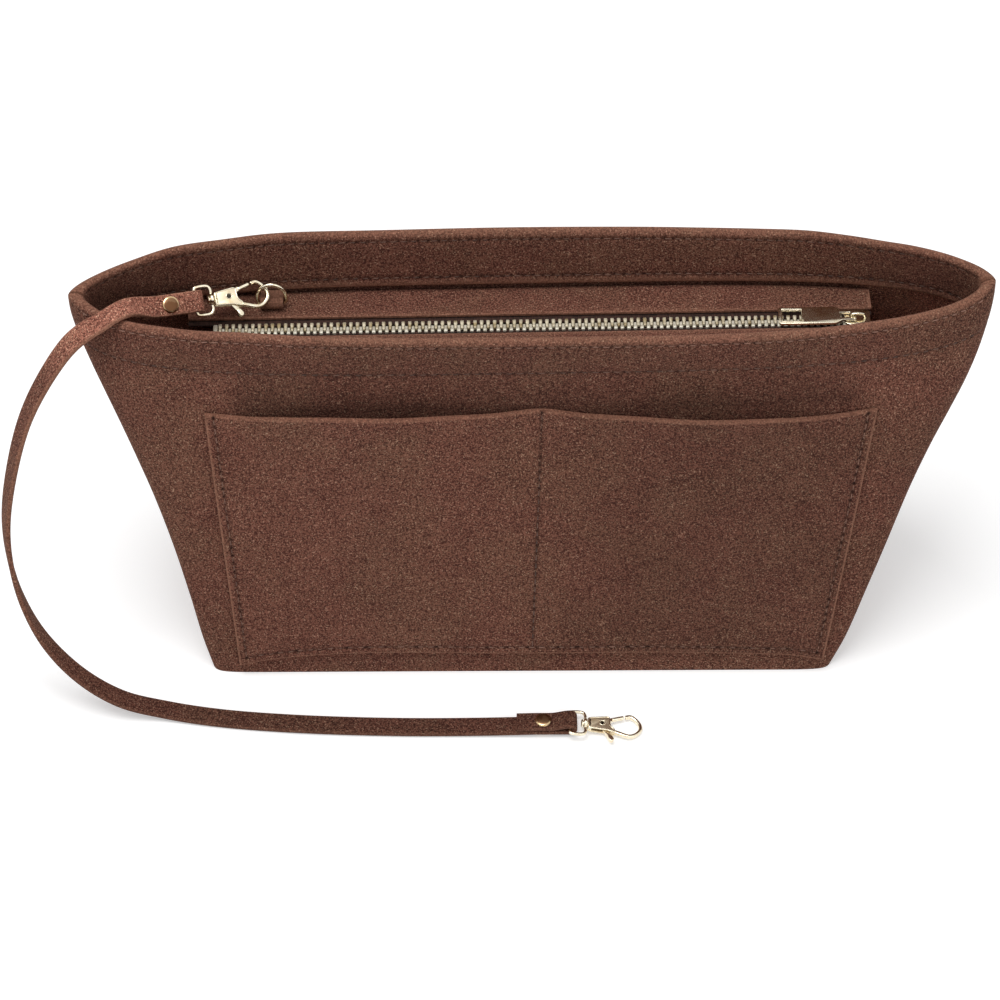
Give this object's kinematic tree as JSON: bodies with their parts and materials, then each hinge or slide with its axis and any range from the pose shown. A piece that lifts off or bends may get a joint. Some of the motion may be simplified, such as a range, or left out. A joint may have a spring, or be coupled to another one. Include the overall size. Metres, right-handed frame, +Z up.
{
  "type": "bag organizer pouch",
  "caption": "Soft felt handbag organizer pouch with a recessed zip lid, slip pockets outside, a felt tab with a D-ring, and a felt key strap ending in swivel clasps",
  "frame": {"origin": "centre of the base's underside", "axes": "+X to the right along the zip, +Y from front to back, +Z up"},
  "size_m": [0.4154, 0.1555, 0.1873],
  "materials": {
    "felt": "needled felt, matt, with paler fibre flecks",
    "tape": "woven zip tape, matt",
    "teeth": "pale gold, polished",
    "gold": "pale gold plate, polished",
    "steel": "bare spring steel"
  },
  "bodies": {
    "pouch": {"front_panel": "felt", "back_panel": "felt", "base_panel": "felt", "front_pocket": "felt", "back_pocket": "felt", "front_zip_strip": "felt", "rear_zip_strip": "felt", "front_zip_tape": "tape", "rear_zip_tape": "tape", "front_teeth": "teeth", "rear_teeth": "teeth", "front_top_stop": "teeth", "rear_top_stop": "teeth", "bottom_stop": "teeth", "ring_tab": "felt", "key_strap": "felt", "near_rivet_cap": "gold", "near_rivet_back": "gold", "far_rivet_cap": "gold", "far_rivet_back": "gold", "near_swivel_eye": "gold"},
    "zip_slider": {"slider_body": "gold"},
    "zip_puller": {"puller": "gold"},
    "ring": {"tab_ring": "gold"},
    "near_clasp": {"near_hook": "gold", "near_gate_pin": "steel", "near_gate_spring": "steel"},
    "near_clasp_gate": {"near_gate": "gold"},
    "far_eye": {"far_swivel_eye": "gold"},
    "far_clasp": {"far_hook": "gold", "far_gate_pin": "steel", "far_gate_spring": "steel"},
    "far_clasp_gate": {"far_gate": "gold"}
  },
  "joints": [
    {"name": "zip_slide", "type": "slide", "parent": "pouch", "child": "zip_slider", "axis": [-0.9999, -0.0163, 0], "range_m": [0, 0.261], "deforming": ["front_teeth", "rear_teeth"]},
    {"name": "puller_swing", "type": "hinge", "parent": "zip_slider", "child": "zip_puller", "pos_m": [0.1388, 0.0082, 0.15585], "axis": [-0.0163, 0.9999, 0], "range_deg": [0, 170]},
    {"name": "ring_swing", "type": "hinge", "parent": "pouch", "child": "ring", "pos_m": [-0.10445, 0.01521, 0.1582], "axis": [0.9999, 0.0163, 0], "range_deg": [-1.5, 8]},
    {"name": "near_swivel", "type": "hinge", "parent": "pouch", "child": "near_clasp", "pos_m": [-0.1218, 0.0104, 0.1661], "axis": [0.93, 0.34, -0.14], "range_deg": [-10, 6]},
    {"name": "near_gate_spring_hinge", "type": "hinge", "parent": "near_clasp", "child": "near_clasp_gate", "pos_m": [-0.1218, 0.0104, 0.1661], "axis": [-0.294, 0.459, -0.8384], "range_deg": [0, 24], "stiffness_Nm_per_rad": 0.02},
    {"name": "far_eye_swing", "type": "hinge", "parent": "pouch", "child": "far_eye", "pos_m": [0.02049, -0.0885, 0.0047], "axis": [0, -1, 0], "range_deg": [0, 50]},
    {"name": "far_swivel", "type": "hinge", "parent": "far_eye", "child": "far_clasp", "pos_m": [0.0344, -0.0885, 0.00315], "axis": [0.9938, 0, -0.1108], "continuous": true},
    {"name": "far_gate_spring_hinge", "type": "hinge", "parent": "far_clasp", "child": "far_clasp_gate", "pos_m": [0.0344, -0.0885, 0.00315], "axis": [-0.1108, 0, -0.9938], "range_deg": [0, 28], "stiffness_Nm_per_rad": 0.02}
  ]
}
